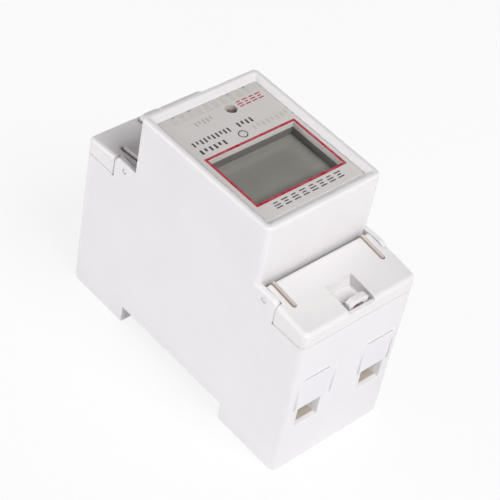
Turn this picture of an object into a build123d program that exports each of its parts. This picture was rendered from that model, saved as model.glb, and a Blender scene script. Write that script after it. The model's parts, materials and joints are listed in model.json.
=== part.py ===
from build123d import *
import os

# Two-module energy meter for a standard mounting rail, in millimetres.
# X runs across the width, Y along the length and Z out of the front.
# The meter stands on its back: z = 0 is the plane of its rear feet.

# Case, outside
module_width = 18.0
module_count = 2
case_width = module_width * module_count
case_length = 79.6
front_length = 45.0
front_height = 66.9
shoulder_height = 43.4
wall = 1.6
front_corner_radius = 1.6
front_edge_radius = 0.8
end_corner_radius = 1.6

# Front rim, faceplate and its openings
rim_flat = 1.3
rim_slope_side = 1.3
rim_slope_end = 1.7
rim_depth = 1.15
rim_corner_radius = 0.8
plate_thickness = 1.7
plate_clearance = 0.06
plate_corner_radius = 0.6
plate_edge_radius = 0.25
window_half_width = 13.4
window_half_length = 8.6
window_center_y = -5.35
led_x = 3.4
led_y = 14.6
led_hole_radius = 1.6
snap_leg_x = 8.5
snap_leg_width = 5.0
snap_leg_thickness = 1.0
snap_leg_inset = 0.6
snap_leg_clearance = 0.25
snap_barb = 0.5
snap_barb_height = 0.9
snap_mark_width = 0.7
snap_mark_depth = 0.45

# Terminal deck, ears and seal loop
deck_height = 41.8
deck_thickness = 1.6
pivot_gap = 3.0
pivot_height = 47.4
ear_reach = 4.0
ear_top = 49.7
ear_thickness = 1.5
ear_corner_radius = 2.0
ear_edge_radius = 0.5
pin_radius = 0.7
pin_clearance = 0.05
pin_reach = 0.8
relief_radius = 0.35
loop_half_width = 3.1
loop_bar = 1.5
loop_thickness = 1.6
loop_inset = 2.2
loop_top = 49.1
loop_corner_radius = 1.5

# Terminal covers
cover_rear_reach = 1.95
cover_rear_top = 49.85
cover_end_top = 47.9
cover_plate = 1.4
cover_wall = 1.4
cover_gap = 0.12
cover_edge_radius = 1.2
cover_corner_radius = 1.6
arm_width = 1.45
slit_width = 1.4
slit_end_inset = 7.8
boss_radius = 1.9
recess_half_width = 4.1
recess_length = 8.8
recess_slope_run = 0.5
recess_step_height = 46.5
recess_step = 0.35
recess_floor = 45.75
recess_skin = 1.0
recess_lip = 1.0
recess_lip_drop = 0.7
slot_margin_x = 0.4
slot_margin_y = 0.7
tongue_half_width = 1.5
tongue_thickness = 1.2
tongue_center_x = 9.5
tongue_inset = 2.0
tongue_low = 42.4

# Wire entries and the outlined panels above them
terminal_x = 10.5
terminal_inset = 7.1
entry_width = 7.4
entry_height = 6.2
entry_center_z = 17.6
entry_inner_width = 6.0
entry_inner_height = 5.2
collar_half_width = 4.6
collar_low = 13.2
collar_high = 21.9
collar_gap = 0.2
panel_half_width = 5.0
panel_top = 31.2
panel_recess = 0.25
panel_slot_half_width = 4.1
panel_slot_height = 0.45

# Mounting rail, channel, hook and latch
rail_width = 35.0
rail_thickness = 1.0
channel_length = 39.0
channel_depth = 5.2
seat_rise = 0.2
seat_half_width = 13.5
seat_half_length = 15.6
hook_half_width = 13.0
hook_pocket_play = 0.5
hook_lip = 1.6
hook_lip_thickness = 1.0
hook_low = 1.0
rail_play = 0.15
latch_half_width = 11.0
latch_thickness = 2.6
latch_low = 1.2
latch_grip = 0.9
latch_nose_chamfer = 1.5
latch_travel = 3.5
latch_tab_half_width = 8.0
latch_tab_inset = 0.4
latch_window_half_width = 2.4
latch_window_inset = 15.8
latch_slot_half_width = 3.5
latch_slot_width = 1.4
latch_side_play = 0.2
latch_face_play = 0.2
guide_lip = 2.0
guide_rib_width = 1.5
guide_end_inset = 3.8
peg_half_width = 2.0
peg_thickness = 1.5
peg_play = 0.15
spring_length = 9.5
spring_radius = 1.45
spring_wire = 0.25
spring_turns = 5

# Rear base
base_clearance = 0.15
base_thickness = 1.6
foot_wall = 1.5
case_screw_x = 13.7
case_screw_y = 24.0
case_boss_radius = 2.3
case_boss_top = 20.0
case_screw_head_radius = 1.9
case_screw_head_height = 1.4
case_screw_radius = 1.0
case_screw_recess = 1.9
case_screw_depth = 9.0
screw_clearance = 0.15
thread_clearance = 0.02
cross_reach_share = 0.65
cross_width_share = 0.3
pillar_x = 4.5
pillar_y = 20.0
pillar_radius = 2.5

# Terminals
bar_bottom = 21.5
bar_thickness = 1.5
bar_half_width = 3.0
bar_corner_radius = 0.5
bar_end_inset = 3.8
bar_wall_inset = 12.8
bar_wall_thickness = 1.4
shunt_half_length = 9.0
shunt_thickness = 1.2
shunt_notch = 1.2
cage_half_width = 4.5
cage_half_length = 3.7
cage_side = 1.1
cage_floor = 1.5
cage_roof = 2.6
cage_opening = 7.1
cage_travel = 5.6
cage_bar_gap = 0.4
cage_groove = 0.3
cage_corner_radius = 0.5
clamp_screw_radius = 2.5
clamp_screw_play = 0.05
clamp_head_radius = 3.3
clamp_head_height = 2.6
clamp_head_play = 0.2
clamp_slot_width = 1.0
clamp_slot_depth = 1.3
clamp_slot_reach = 2.65
clamp_tip_chamfer = 0.5
clamp_head_edge_radius = 0.3
clamp_rise_gap = 0.5
driver_hole_radius = 3.05
well_wall = 1.1

# Display stack
board_thickness = 1.6
display_depth = 6.45
display_board_half_width = 15.9
display_board_half_length = 20.3
display_post_x = 13.6
display_post_far_y = 17.6
display_post_near_y = -18.6
display_post_radius = 1.9
display_screw_radius = 0.95
display_screw_head_radius = 1.9
display_screw_head_height = 1.3
display_screw_depth = 4.0
frame_wall = 1.2
frame_cavity_margin = 0.8
frame_lip = 0.6
frame_top_gap = 0.05
snout_wall = 0.7
glass_thickness = 1.8
glass_clearance = 0.1
glass_ledge = 0.6
reflector_thickness = 1.4
reflector_inset = 1.1
lcd_pin_count = 11
lcd_pin_pitch = 2.54
lcd_pin_width = 0.6
lcd_pin_thickness = 0.3
led_radius = 1.5
led_flange_radius = 1.8
led_flange_height = 0.8
led_base_height = 4.2
led_body_height = 2.4
led_lead_radius = 0.25
led_lead_pitch = 2.54

# Main board and what it carries
main_board_bottom = 28.0
main_board_half_width = 15.6
main_board_half_length = 25.6
board_screw_radius = 0.95
board_screw_head_radius = 2.0
board_screw_head_height = 1.4
board_screw_depth = 6.0
sense_post_radius = 0.6
sense_post_y = 10.5
header_x = 14.2
header_start_y = -6.0
header_pins = 8
header_pitch = 2.54
header_pin_width = 0.64
header_strip_width = 2.5
film_capacitor_size = (8.0, 17.5, 14.0)
film_capacitor_at = (-9.5, 8.0)
box_edge_radius = 0.4
can_radius = 4.0
can_height = 12.0
can_edge_radius = 0.65
can_groove_height = 1.5
can_groove_width = 0.65
can_groove_depth = 0.4
can_at = (7.6, 11.5)
varistor_radius = 5.0
varistor_thickness = 4.0
varistor_edge = 1.0
varistor_at = (11.5, -19.5)
varistor_lead_height = 0.8
varistor_lead_radius = 0.4
crystal_size = (11.0, 4.6, 3.6)
crystal_at = (-0.2, -14.2)
crystal_edge_radius = 0.45
metering_chip_size = (7.6, 10.4, 2.2)
metering_chip_at = (0.0, -5.9)
metering_chip_lead_count = 8
controller_size = (7.0, 7.0, 1.4)
controller_at = (-11.0, -13.0)
controller_lead_count = 8
isolator_size = (6.4, 4.6, 3.5)
isolator_at = (10.5, -9.5)
isolator_lead_count = 2
lead_row_share = 0.85
lead_width_share = 0.4
chip_lift_share = 0.1

# Places worked out from the sizes above
half_width = case_width / 2
half_length = case_length / 2
inner_half_width = half_width - wall
inner_half_length = half_length - wall
front_half = front_length / 2
front_inner_half = front_half - wall
plate_face = front_height - rim_depth
plate_back = plate_face - plate_thickness
front_wall_back = plate_back - wall
pocket_half_width = half_width - rim_flat - rim_slope_side
pocket_half_length = front_half - rim_flat - rim_slope_end
snap_leg_y = pocket_half_length - plate_clearance - snap_leg_inset - snap_leg_thickness / 2
deck_bottom = deck_height - deck_thickness
terminal_y = half_length - terminal_inset
loop_y = half_length - loop_inset
slit_end_y = half_length - slit_end_inset
recess_start_y = half_length - recess_length
tongue_outer_y = half_length - tongue_inset
bar_end_y = half_length - bar_end_inset
bar_wall_y = half_length - bar_wall_inset
guide_end_y = half_length - guide_end_inset
latch_window_start_y = half_length - latch_window_inset
pivot_y = front_half + pivot_gap
ear_front_y = pivot_y + ear_reach
ear_inner_x = half_width - ear_thickness
cover_rear_y = pivot_y - cover_rear_reach
cover_low = shoulder_height + cover_gap
arm_outer_x = ear_inner_x - cover_gap
arm_inner_x = arm_outer_x - arm_width
base_half_width = inner_half_width - base_clearance
base_half_length = inner_half_length - base_clearance
base_top = channel_depth + base_thickness
channel_half = channel_length / 2
rail_half = rail_width / 2
rail_slot_low = channel_depth - seat_rise - rail_thickness - rail_play
latch_top = latch_low + latch_thickness
latch_nose_y = rail_half - hook_pocket_play + rail_play - latch_grip
latch_end_y = half_length - latch_tab_inset
latch_shoulder_y = guide_end_y - latch_travel
peg_inner_y = latch_window_start_y + spring_length
peg_outer_y = peg_inner_y + peg_thickness
bar_top = bar_bottom + bar_thickness
cage_inner_floor = bar_bottom - cage_opening
cage_roof_low = bar_top + cage_bar_gap
cage_roof_top = cage_roof_low + cage_roof
head_low = cage_roof_top + cage_travel + clamp_rise_gap
head_top = head_low + clamp_head_height
well_ledge = head_top + clamp_head_play
well_radius = clamp_head_radius + clamp_head_play
collar_inner_y = terminal_y + cage_half_length + collar_gap
main_board_top = main_board_bottom + board_thickness
display_board_top = front_wall_back - display_depth
display_board_bottom = display_board_top - board_thickness
frame_top = front_wall_back - frame_top_gap
glass_top = frame_top - frame_lip
glass_bottom = glass_top - glass_thickness


def block(x0, x1, y0, y1, z0, z1):
    """A rectangular solid between two corners."""
    return Pos((x0 + x1) / 2, (y0 + y1) / 2, (z0 + z1) / 2) * Box(x1 - x0, y1 - y0, z1 - z0)


def post(x, y, z0, z1, radius):
    """A round solid that stands along Z."""
    return Pos(x, y, (z0 + z1) / 2) * Cylinder(radius, z1 - z0)


def cross_pin(x0, x1, y, z, radius):
    """A round solid that lies along X."""
    return Pos((x0 + x1) / 2, y, z) * Rot(0, 90, 0) * Cylinder(radius, x1 - x0)


def side_profile(points, x0, x1):
    """A closed outline of (y, z) points, made solid from x0 to x1."""
    face = make_face(Polyline(*points, close=True))
    return extrude(Plane.YZ.offset(x0) * face, amount=x1 - x0)


def end_plane(y):
    """The plane across the case at y, on which sketches are drawn as (x, z)."""
    return Plane(origin=(0, y, 0), x_dir=(1, 0, 0), z_dir=(0, -1, 0))


def flat(x0, x1, y0, y1):
    """A flat rectangle between two corners."""
    return Pos((x0 + x1) / 2, (y0 + y1) / 2) * Rectangle(x1 - x0, y1 - y0)


def rounded_slab(half_x, half_y, z0, z1, radius):
    """A slab round the middle with rounded upright corners."""
    return extrude(Plane.XY.offset(z0) * RectangleRounded(2 * half_x, 2 * half_y, radius), amount=z1 - z0)


def both_ends(make):
    """Adds what make(side) gives for the near end, side -1, and the far end, side +1."""
    return make(-1) + make(1)


def four_corners(make):
    """Adds what make(x_side, y_side) gives at the four corners."""
    return make(-1, -1) + make(1, -1) + make(-1, 1) + make(1, 1)


def above_shoulder(edge):
    """True for an edge that shows above the shoulder."""
    return edge.bounding_box().max.Z > shoulder_height


def case_outside():
    """The closed outer form: body, raised front and the four hinge ears."""
    body = block(-half_width, half_width, -half_length, half_length, 0, shoulder_height)
    body = fillet(body.edges().filter_by(Axis.Z), end_corner_radius)
    front = block(-half_width, half_width, -front_half, front_half, deck_bottom, front_height)
    front = fillet(front.edges().filter_by(Axis.Z), front_corner_radius)
    front = fillet(front.faces().sort_by(Axis.Z)[-1].outer_wire().edges(), front_edge_radius)
    ear_face = flat(front_inner_half, ear_front_y, deck_bottom, ear_top)
    outer_corner = ear_face.vertices().group_by(Axis.Y)[-1].sort_by(Axis.X)[-1]
    ear_face = fillet(outer_corner, ear_corner_radius)
    ear = extrude(Plane.YZ.offset(ear_inner_x) * ear_face, amount=ear_thickness)
    ear = fillet(ear.faces().sort_by(Axis.X)[-1].edges().filter_by(above_shoulder), ear_edge_radius)
    ears = ear + mirror(ear, about=Plane.YZ)
    ears += mirror(ears, about=Plane.XZ)
    return body + front + ears


def front_recess():
    """What the sloped rim, the faceplate's pocket and the openings behind it take away."""
    top_face = RectangleRounded(2 * (half_width - rim_flat), 2 * (front_half - rim_flat), rim_corner_radius)
    low_face = RectangleRounded(2 * pocket_half_width, 2 * pocket_half_length, plate_corner_radius)
    slope = loft([Plane.XY.offset(plate_face) * low_face, Plane.XY.offset(front_height) * top_face])
    pocket = rounded_slab(pocket_half_width, pocket_half_length, plate_back, plate_face, plate_corner_radius)
    hole_x = window_half_width + snout_wall + plate_clearance
    hole_y = window_half_length + snout_wall + plate_clearance
    window = block(
        -hole_x, hole_x, window_center_y - hole_y, window_center_y + hole_y, front_wall_back, plate_back
    )
    led_hole = post(led_x, led_y, front_wall_back, plate_back, led_flange_radius + plate_clearance)
    leg_half = snap_leg_width / 2 + snap_leg_clearance

    def leg_slot(x_side, y_side):
        low = snap_leg_y - snap_leg_thickness / 2 - snap_leg_clearance
        solid = block(
            snap_leg_x - leg_half, snap_leg_x + leg_half, low, pocket_half_length, front_wall_back, plate_back
        )
        return mirrored(solid, x_side, y_side)

    return slope + pocket + window + led_hole + four_corners(leg_slot)


def mirrored(solid, x_side, y_side):
    """Puts a solid made at +X, +Y in the quarter that the two signs name."""
    if x_side < 0:
        solid = mirror(solid, about=Plane.YZ)
    if y_side < 0:
        solid = mirror(solid, about=Plane.XZ)
    return solid


def wire_entry(x_side, y_side):
    """The tapered wire hole, with the shallow outlined panel and its slit above."""
    outer = Plane(origin=(terminal_x, half_length, entry_center_z), x_dir=(1, 0, 0), z_dir=(0, 1, 0))
    inner = Plane(origin=(terminal_x, collar_inner_y, entry_center_z), x_dir=(1, 0, 0), z_dir=(0, 1, 0))
    mouth = outer * Rectangle(entry_width, entry_height)
    throat = inner * Rectangle(entry_inner_width, entry_inner_height)
    hole = loft([throat, mouth])
    panel_low = entry_center_z + entry_height / 2
    panel = block(
        terminal_x - panel_half_width, terminal_x + panel_half_width,
        half_length - panel_recess, half_length, panel_low, panel_top,
    )
    slit = block(
        terminal_x - panel_slot_half_width, terminal_x + panel_slot_half_width,
        inner_half_length, half_length, panel_top - panel_slot_height, panel_top,
    )
    return mirrored(hole + panel + slit, x_side, y_side)


def wire_collar(x_side, y_side):
    """The block inside the end wall that carries the wire hole up to the cage."""
    collar = block(
        terminal_x - collar_half_width, terminal_x + collar_half_width, collar_inner_y, inner_half_length,
        collar_low, collar_high,
    )
    return mirrored(collar, x_side, y_side)


def screw_well(x_side, y_side):
    """The tube that hangs from the deck round a clamp screw's head."""
    tube = post(terminal_x, terminal_y, head_low - clamp_head_play, deck_bottom, well_radius + well_wall)
    return mirrored(tube, x_side, y_side)


def screw_well_bore(x_side, y_side):
    """The head's chamber and the driver's hole above it."""
    chamber = post(terminal_x, terminal_y, head_low - clamp_head_play, well_ledge, well_radius)
    driver_hole = post(terminal_x, terminal_y, well_ledge, deck_height, driver_hole_radius)
    return mirrored(chamber + driver_hole, x_side, y_side)


def case_boss(x_side, y_side):
    """A screw boss beside the side wall, standing on the rear base."""
    boss = post(case_screw_x, case_screw_y, base_top, case_boss_top, case_boss_radius)
    boss += block(
        case_screw_x, inner_half_width, case_screw_y - case_boss_radius, case_screw_y + case_boss_radius,
        base_top, case_boss_top,
    )
    pilot_top = base_top + case_screw_depth + thread_clearance
    boss -= post(case_screw_x, case_screw_y, base_top, pilot_top, case_screw_radius + thread_clearance)
    return mirrored(boss, x_side, y_side)


def display_post(x_side, y_side):
    """A post from the front wall down to the display board, with its pilot hole."""
    y = display_post_far_y if y_side > 0 else -display_post_near_y
    solid = post(display_post_x, y, display_board_top, front_wall_back, display_post_radius)
    pilot_top = display_board_top + display_screw_depth + thread_clearance
    solid -= post(display_post_x, y, display_board_top, pilot_top, display_screw_radius + thread_clearance)
    return mirrored(solid, x_side, y_side)


def seal_loop(side):
    """The arch on the deck that the sealing wire goes through."""
    outline = flat(-loop_half_width, loop_half_width, deck_bottom, loop_top)
    outline = fillet(outline.vertices().group_by(Axis.Y)[-1], loop_corner_radius)
    hole_half = loop_half_width - loop_bar
    hole = flat(-hole_half, hole_half, deck_height + loop_bar, loop_top - loop_bar)
    hole = fillet(hole.vertices().group_by(Axis.Y)[-1], loop_corner_radius / 2)
    arch = extrude(end_plane(loop_y + loop_thickness / 2) * (outline - hole), amount=loop_thickness)
    return mirrored(arch, 1, side)


def case_shell():
    """The moulded housing: walls, raised front, decks, wells, ears and seal loops."""
    shell = case_outside()
    shell -= block(
        -inner_half_width, inner_half_width, -front_inner_half, front_inner_half, 0, front_wall_back
    )
    shell -= block(-inner_half_width, inner_half_width, -inner_half_length, inner_half_length, 0, deck_bottom)
    shell -= block(-half_width, half_width, -channel_half, channel_half, 0, channel_depth)
    shell -= front_recess()

    def deck_pocket(side):
        solid = block(-ear_inner_x, ear_inner_x, front_half, inner_half_length, deck_height, shoulder_height)
        return mirrored(solid, 1, side)

    def partitions(side):
        cross = block(
            -inner_half_width, inner_half_width, bar_wall_y, bar_wall_y + bar_wall_thickness,
            bar_top, deck_bottom,
        )
        middle = block(
            -wall / 2, wall / 2, bar_wall_y + bar_wall_thickness, inner_half_length,
            base_top + base_clearance, deck_bottom,
        )
        return mirrored(cross + middle, 1, side)

    shell -= both_ends(deck_pocket)
    shell += both_ends(partitions) + four_corners(screw_well) + four_corners(wire_collar)
    shell -= four_corners(screw_well_bore) + four_corners(wire_entry)
    shell += four_corners(case_boss) + four_corners(display_post) + both_ends(seal_loop)
    for side in (-1, 1):
        shell -= cross_pin(-half_width, half_width, side * pivot_y, pivot_height, pin_radius + pin_clearance)
        shell -= cross_pin(-half_width, half_width, side * ear_front_y, shoulder_height, relief_radius)
    notch_half = latch_tab_half_width + latch_side_play
    shell -= block(-notch_half, notch_half, inner_half_length, half_length, 0, latch_top + latch_face_play)
    return shell


def rear_base():
    """The ribbed plate that closes the back, with rail seat, hook and latch guides."""
    base = block(
        -base_half_width, base_half_width, -base_half_length, base_half_length, channel_depth, base_top
    )
    base += block(
        -seat_half_width, seat_half_width, -seat_half_length, seat_half_length,
        channel_depth - seat_rise, channel_depth,
    )
    base += both_ends(foot_walls)
    base += near_hook() + latch_guides()
    base += four_corners(board_pillar) + both_ends(bar_support)
    base -= latch_passage()
    base += latch_peg() + four_corners(base_screw_boss)
    base -= four_corners(base_screw_hole)
    return base


def foot_walls(side):
    """The walls that stand a foot on the plane the meter rests on."""
    inner = block(-base_half_width, base_half_width, channel_half, channel_half + foot_wall, 0, channel_depth)
    outer = block(
        -base_half_width, base_half_width, base_half_length - foot_wall, base_half_length, 0, channel_depth
    )
    rib_x = latch_half_width + latch_side_play
    rib = block(rib_x, rib_x + guide_rib_width, channel_half, base_half_length, 0, channel_depth)
    return mirrored(inner + outer + rib + mirror(rib, about=Plane.YZ), 1, side)


def near_hook():
    """The fixed hook that holds one edge of the rail."""
    pocket_y = rail_half + hook_pocket_play
    tip_y = pocket_y - hook_lip
    points = [
        (channel_half + foot_wall, channel_depth), (pocket_y, channel_depth), (pocket_y, rail_slot_low),
        (tip_y, rail_slot_low), (tip_y, rail_slot_low - hook_lip_thickness), (pocket_y, hook_low),
        (channel_half + foot_wall, hook_low),
    ]
    return mirror(side_profile(points, -hook_half_width, hook_half_width), about=Plane.XZ)


def latch_guides():
    """Lips under the latch and ribs over it, on both of its sides."""
    outer_x = latch_half_width + latch_side_play + guide_rib_width
    start_y = channel_half + foot_wall
    lip_x = latch_half_width - guide_lip
    lip = block(lip_x, outer_x, start_y, guide_end_y, 0, latch_low - latch_face_play)
    rib = block(
        lip_x, lip_x + guide_rib_width, start_y, guide_end_y, latch_top + latch_face_play, channel_depth
    )
    guide = lip + rib
    return guide + mirror(guide, about=Plane.YZ)


def latch_passage():
    """What the sliding latch needs open in the far foot's walls."""
    nose_x = latch_half_width + latch_side_play
    tab_x = latch_tab_half_width + latch_side_play
    nose = block(-nose_x, nose_x, channel_half, channel_half + foot_wall, 0, channel_depth)
    tab = block(-tab_x, tab_x, guide_end_y, base_half_length, 0, latch_top + latch_face_play)
    return nose + tab


def latch_peg():
    """The peg that carries the latch's spring and stops the latch."""
    return block(-peg_half_width, peg_half_width, peg_inner_y, peg_outer_y, hook_low, channel_depth)


def board_pillar(x_side, y_side):
    """A pillar under the main board, with its pilot hole."""
    pillar = post(pillar_x, pillar_y, base_top, main_board_bottom, pillar_radius)
    depth = board_screw_depth - board_thickness + thread_clearance
    pilot = board_screw_radius + thread_clearance
    pillar -= post(pillar_x, pillar_y, main_board_bottom - depth, main_board_bottom, pilot)
    return mirrored(pillar, x_side, y_side)


def bar_support(side):
    """The upright wall on which the bus bars lie."""
    y1 = bar_wall_y + bar_wall_thickness
    solid = block(-base_half_width, base_half_width, bar_wall_y, y1, base_top, bar_bottom)
    between = terminal_x - bar_half_width - base_clearance
    solid += block(-between, between, bar_wall_y, y1, bar_bottom, bar_top - base_clearance)
    return mirrored(solid, 1, side)


def base_screw_boss(x_side, y_side):
    """The boss that a case screw's head sinks into."""
    radius = case_screw_head_radius + screw_clearance + foot_wall / 2
    boss = post(case_screw_x, case_screw_y, hook_low, channel_depth, radius)
    passage_x = latch_half_width + latch_side_play
    boss &= block(passage_x, base_half_width, 0, base_half_length, 0, channel_depth)
    return mirrored(boss, x_side, y_side)


def base_screw_hole(x_side, y_side):
    """The counterbore and the clearance hole of a case screw."""
    seat = hook_low + case_screw_recess
    hole = post(case_screw_x, case_screw_y, 0, seat, case_screw_head_radius + screw_clearance)
    hole += post(case_screw_x, case_screw_y, seat, base_top, case_screw_radius + screw_clearance)
    return mirrored(hole, x_side, y_side)


def screw_head_slot(x, y, z0, z1, reach, width):
    """The crossed slots that a driver turns a screw by."""
    return block(x - reach, x + reach, y - width / 2, y + width / 2, z0, z1) + block(
        x - width / 2, x + width / 2, y - reach, y + reach, z0, z1
    )


def upward_screw(x, y, head_low_z, head_radius, head_height, shank_radius, shank_length):
    """A screw driven upwards, with its head at the bottom."""
    screw = post(x, y, head_low_z, head_low_z + head_height, head_radius)
    screw += post(x, y, head_low_z + head_height, head_low_z + head_height + shank_length, shank_radius)
    reach = head_radius * cross_reach_share
    slot_top = head_low_z + head_height / 2
    return screw - screw_head_slot(x, y, head_low_z, slot_top, reach, head_radius * cross_width_share)


def case_screws():
    """The four screws that hold the rear base to the case."""
    seat = hook_low + case_screw_recess
    length = base_top - seat + case_screw_depth

    def one(x_side, y_side):
        return upward_screw(
            x_side * case_screw_x, y_side * case_screw_y, seat - case_screw_head_height,
            case_screw_head_radius, case_screw_head_height, case_screw_radius, length,
        )

    return four_corners(one)


def rail_latch():
    """The sliding latch: nose, spring window and the tab a driver pulls."""
    points = [
        (latch_nose_y, latch_top), (latch_nose_y, latch_top - latch_thickness + latch_nose_chamfer),
        (latch_nose_y + latch_nose_chamfer, latch_low), (latch_shoulder_y, latch_low),
        (latch_shoulder_y, latch_top),
    ]
    latch = side_profile(points, -latch_half_width, latch_half_width)
    latch += block(
        -latch_tab_half_width, latch_tab_half_width, latch_shoulder_y, latch_end_y, latch_low, latch_top
    )
    latch -= block(
        -latch_window_half_width, latch_window_half_width, latch_window_start_y, peg_outer_y + peg_play,
        latch_low, latch_top,
    )
    slot_y = (peg_outer_y + latch_end_y) / 2
    latch -= block(
        -latch_slot_half_width, latch_slot_half_width, slot_y - latch_slot_width / 2,
        slot_y + latch_slot_width / 2, latch_low, latch_top,
    )
    return latch


def latch_spring():
    """The coil spring between the base's peg and the latch's window."""
    rise = spring_length - 2 * spring_wire
    path = Helix(pitch=rise / spring_turns, height=rise, radius=spring_radius)
    profile = Plane(origin=path @ 0, z_dir=path % 0) * Circle(spring_wire)
    coil = sweep(profile, path=path, is_frenet=True)
    center_z = (latch_low + latch_top) / 2
    return Pos(0, latch_window_start_y + spring_wire, center_z) * Rot(-90, 0, 0) * coil


def cover_top(y):
    """Height of a cover's sloping top at y."""
    share = (y - cover_rear_y) / (half_length - cover_rear_y)
    return cover_rear_top + (cover_end_top - cover_rear_top) * share


def cover_outside():
    """The far cover's closed outer form, with its edges rounded."""
    points = [
        (cover_rear_y, cover_low), (half_length, cover_low), (half_length, cover_end_top),
        (cover_rear_y, cover_rear_top),
    ]
    solid = side_profile(points, -half_width, half_width)
    solid = fillet(solid.edges().filter_by(Axis.Z).group_by(Axis.Y)[-1], cover_corner_radius)
    return fillet(solid.faces().sort_by(Axis.Z)[-1].outer_wire().edges(), cover_edge_radius)


def seal_recess():
    """What the sealing recess takes from a cover: sloped wall, step, floor and low lip."""
    lip_y = half_length - recess_lip
    lip_top = cover_end_top - recess_lip_drop
    points = [
        (recess_start_y, ear_top), (recess_start_y, cover_top(recess_start_y)),
        (recess_start_y + recess_slope_run, recess_step_height),
        (recess_start_y + recess_slope_run + recess_step, recess_step_height),
        (recess_start_y + recess_slope_run + recess_step, recess_floor), (lip_y, recess_floor),
        (lip_y, lip_top), (half_length, lip_top), (half_length, ear_top),
    ]
    solid = side_profile(points, -recess_half_width, recess_half_width)
    slot_x = loop_half_width + slot_margin_x
    slot_y = loop_y - loop_thickness / 2 - slot_margin_y
    return solid + block(-slot_x, slot_x, slot_y, lip_y, recess_floor - recess_skin, recess_floor)


def terminal_cover(side):
    """A hinged cover: sloped plate, skirt, sprung arms with pins, and sealing recess."""
    outside = cover_outside()
    inner_x = half_width - cover_wall
    inner_y = half_length - cover_wall
    hollow = [
        (cover_rear_y, cover_low), (inner_y, cover_low), (inner_y, cover_top(inner_y) - cover_plate),
        (cover_rear_y, cover_top(cover_rear_y) - cover_plate),
    ]
    cover = outside - side_profile(hollow, -inner_x, inner_x)
    tub = block(
        -recess_half_width - recess_skin, recess_half_width + recess_skin,
        recess_start_y - recess_skin, half_length, recess_floor - recess_skin, cover_rear_top,
    )
    cover += tub & outside
    for x_side in (-1, 1):
        tongue_x = x_side * tongue_center_x
        tongue = block(
            tongue_x - tongue_half_width, tongue_x + tongue_half_width, tongue_outer_y - tongue_thickness,
            tongue_outer_y, tongue_low, cover_top(tongue_outer_y) - cover_plate / 2,
        )
        cover += tongue
        near_ear = block(
            arm_outer_x, half_width, cover_rear_y, ear_front_y + cover_gap, cover_low, cover_rear_top
        )
        cover -= near_ear if x_side > 0 else mirror(near_ear, about=Plane.YZ)
        boss = cross_pin(arm_inner_x, arm_outer_x, pivot_y, pivot_height, boss_radius)
        boss += cross_pin(arm_outer_x, ear_inner_x + pin_reach, pivot_y, pivot_height, pin_radius)
        cover += boss if x_side > 0 else mirror(boss, about=Plane.YZ)
        slit_x = arm_inner_x - slit_width / 2
        straight_end = slit_end_y - slit_width / 2
        slit = block(
            arm_inner_x - slit_width, arm_inner_x, cover_rear_y, straight_end, recess_floor, cover_rear_top
        )
        slit += post(slit_x, straight_end, recess_floor, cover_rear_top, slit_width / 2)
        cover -= slit if x_side > 0 else mirror(slit, about=Plane.YZ)
    cover -= seal_recess()
    return mirrored(cover, 1, side)


def front_plate():
    """The faceplate: window, lamp hole, edge marks and four snap legs."""
    half_x = pocket_half_width - plate_clearance
    half_y = pocket_half_length - plate_clearance
    plate = rounded_slab(half_x, half_y, plate_back, plate_face, plate_corner_radius)
    plate = fillet(plate.faces().sort_by(Axis.Z)[-1].outer_wire().edges(), plate_edge_radius)
    plate -= block(
        -window_half_width, window_half_width, window_center_y - window_half_length,
        window_center_y + window_half_length, plate_back, plate_face,
    )
    plate -= post(led_x, led_y, plate_back, plate_face, led_hole_radius)
    leg_half = snap_leg_width / 2
    leg_outer = snap_leg_y + snap_leg_thickness / 2
    barb_top = front_wall_back - plate_clearance
    points = [
        (leg_outer - snap_leg_thickness, plate_back),
        (leg_outer - snap_leg_thickness, barb_top - snap_barb_height),
        (leg_outer, barb_top - snap_barb_height), (leg_outer + snap_barb, barb_top), (leg_outer, barb_top),
        (leg_outer, plate_back),
    ]
    leg = side_profile(points, snap_leg_x - leg_half, snap_leg_x + leg_half)
    plate += four_corners(lambda x_side, y_side: mirrored(leg, x_side, y_side))
    for x in (-snap_leg_x - leg_half, -snap_leg_x + leg_half, snap_leg_x - leg_half, snap_leg_x + leg_half):
        plate -= block(
            x - snap_mark_width / 2, x + snap_mark_width / 2, half_y - snap_mark_depth, half_y,
            plate_back, plate_face,
        )
    return plate


def display_frame():
    """The dark holder round the display, with a snout up into the case's window."""
    cavity_x = window_half_width + frame_cavity_margin
    cavity_y = window_half_length + frame_cavity_margin + glass_ledge
    outer_x = cavity_x + frame_wall
    outer_y = cavity_y + frame_wall
    middle = Pos(0, window_center_y, 0)
    frame = block(-outer_x, outer_x, -outer_y, outer_y, display_board_top, frame_top)
    snout_x = window_half_width + snout_wall
    snout_y = window_half_length + snout_wall
    frame += block(-snout_x, snout_x, -snout_y, snout_y, frame_top, plate_back - frame_top_gap)
    frame -= block(-cavity_x, cavity_x, -cavity_y, cavity_y, display_board_top, glass_top)
    frame -= block(
        -window_half_width, window_half_width, -window_half_length, window_half_length,
        glass_top, plate_back - frame_top_gap,
    )
    return middle * frame


def lcd_glass():
    """The display: two plates of glass, the lower one longer to take the pins."""
    half_x = window_half_width + frame_cavity_margin - glass_clearance
    half_y = window_half_length + frame_cavity_margin + glass_ledge - glass_clearance
    middle_z = (glass_bottom + glass_top) / 2
    glass = block(-half_x, half_x, -half_y, half_y, glass_bottom, middle_z)
    glass += block(-half_x, half_x, -half_y + glass_ledge, half_y - glass_ledge, middle_z, glass_top)
    return Pos(0, window_center_y, 0) * glass


def lcd_reflector():
    """The white sheet behind the display."""
    half_x = window_half_width - reflector_inset / 2
    half_y = window_half_length - reflector_inset / 2
    sheet = block(-half_x, half_x, -half_y, half_y, glass_bottom - reflector_thickness, glass_bottom)
    return Pos(0, window_center_y, 0) * sheet


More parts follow.
